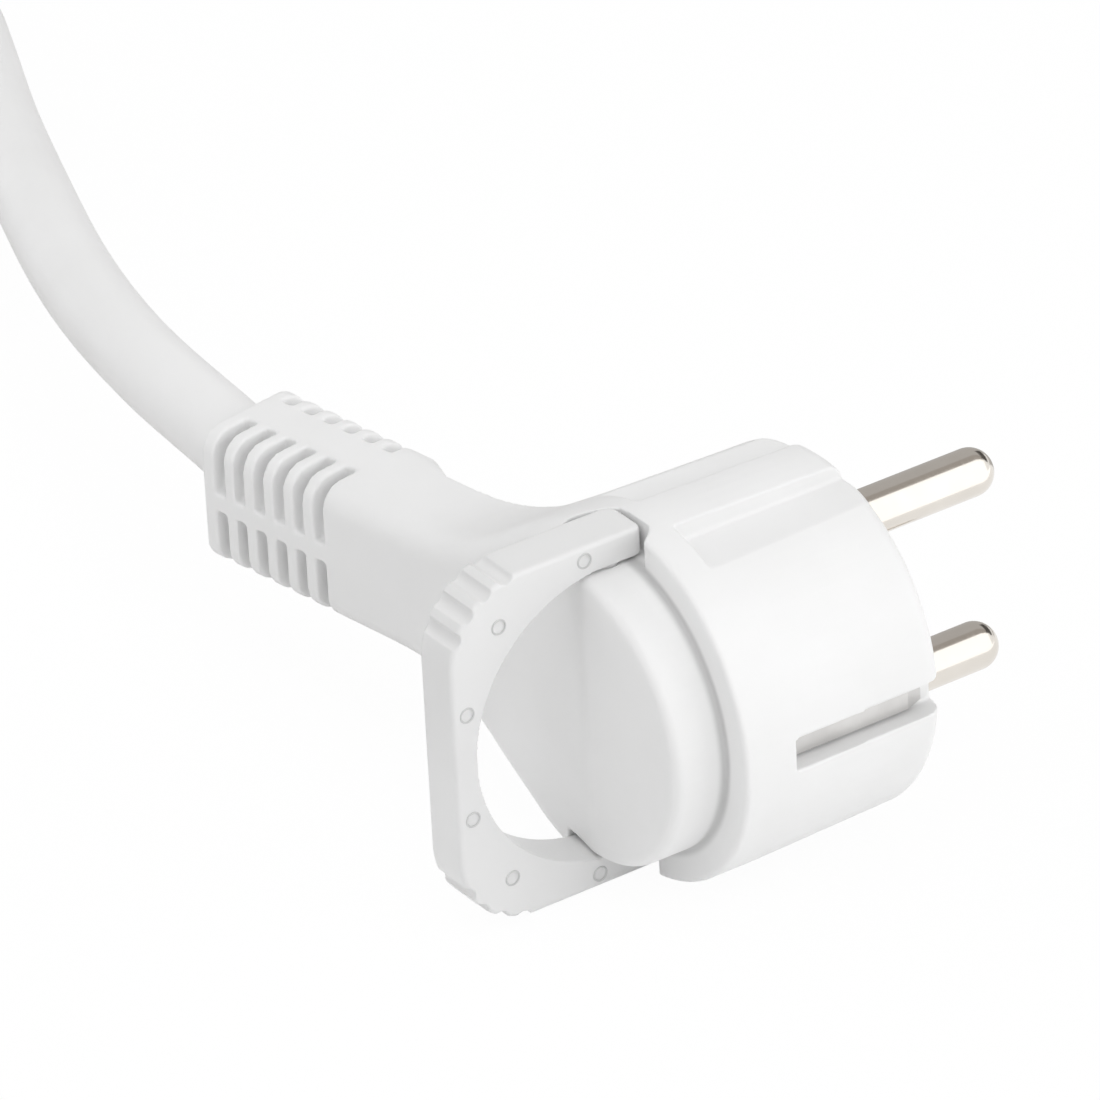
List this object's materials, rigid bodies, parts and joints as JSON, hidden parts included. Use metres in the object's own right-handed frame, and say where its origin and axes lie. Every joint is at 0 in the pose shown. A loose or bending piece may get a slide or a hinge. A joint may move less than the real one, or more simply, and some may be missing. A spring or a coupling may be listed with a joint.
{
  "type": "angled mains plug with pull ring",
  "caption": "Flat angled mains plug with round contact pins, side earth contacts, a folding pull ring and a slotted cord grip, on a tied lead with ferruled ends.",
  "frame": {"origin": "centre of the engagement face, midway between the contact pins", "axes": "+X along the pins, out of the engagement face; +Y towards the cord; +Z along the line through both pins, up as the plug lies on its round side"},
  "size_m": [0.1054, 0.2671, 0.0368],
  "materials": {
    "body_plastic": "fine satin moulding",
    "ring_plastic": "smooth moulding",
    "carrier_plastic": "fine satin moulding",
    "nickel": "polished nickel plate",
    "contact_metal": "satin nickel plate",
    "cord_sheath": "soft extruded sheath",
    "tie_strap": "ribbed strap",
    "brown_insulation": "extruded",
    "blue_insulation": "extruded",
    "earth_insulation": "extruded, striped",
    "tinned_metal": "tinned, crimped"
  },
  "bodies": {
    "plug": {"plug_body": "body_plastic", "live_pin": "nickel", "neutral_pin": "nickel", "pin_carrier": "carrier_plastic", "earth_strip": "contact_metal", "live_core": "brown_insulation", "neutral_core": "blue_insulation", "earth_core": "earth_insulation", "cord_run": "cord_sheath", "cord_coil": "cord_sheath", "cord_tie": "tie_strap", "cord_tail": "cord_sheath", "live_core_end": "brown_insulation", "live_ferrule": "tinned_metal", "neutral_core_end": "blue_insulation", "neutral_ferrule": "tinned_metal", "earth_core_end": "earth_insulation", "earth_ferrule": "tinned_metal"},
    "ring": {"pull_ring": "ring_plastic"}
  },
  "joints": [
    {"name": "ring_fold", "type": "hinge", "parent": "plug", "child": "ring", "pos_m": [-0.02485, 0.00065, 0], "axis": [0, 0, 1], "range_deg": [0, 90]}
  ]
}
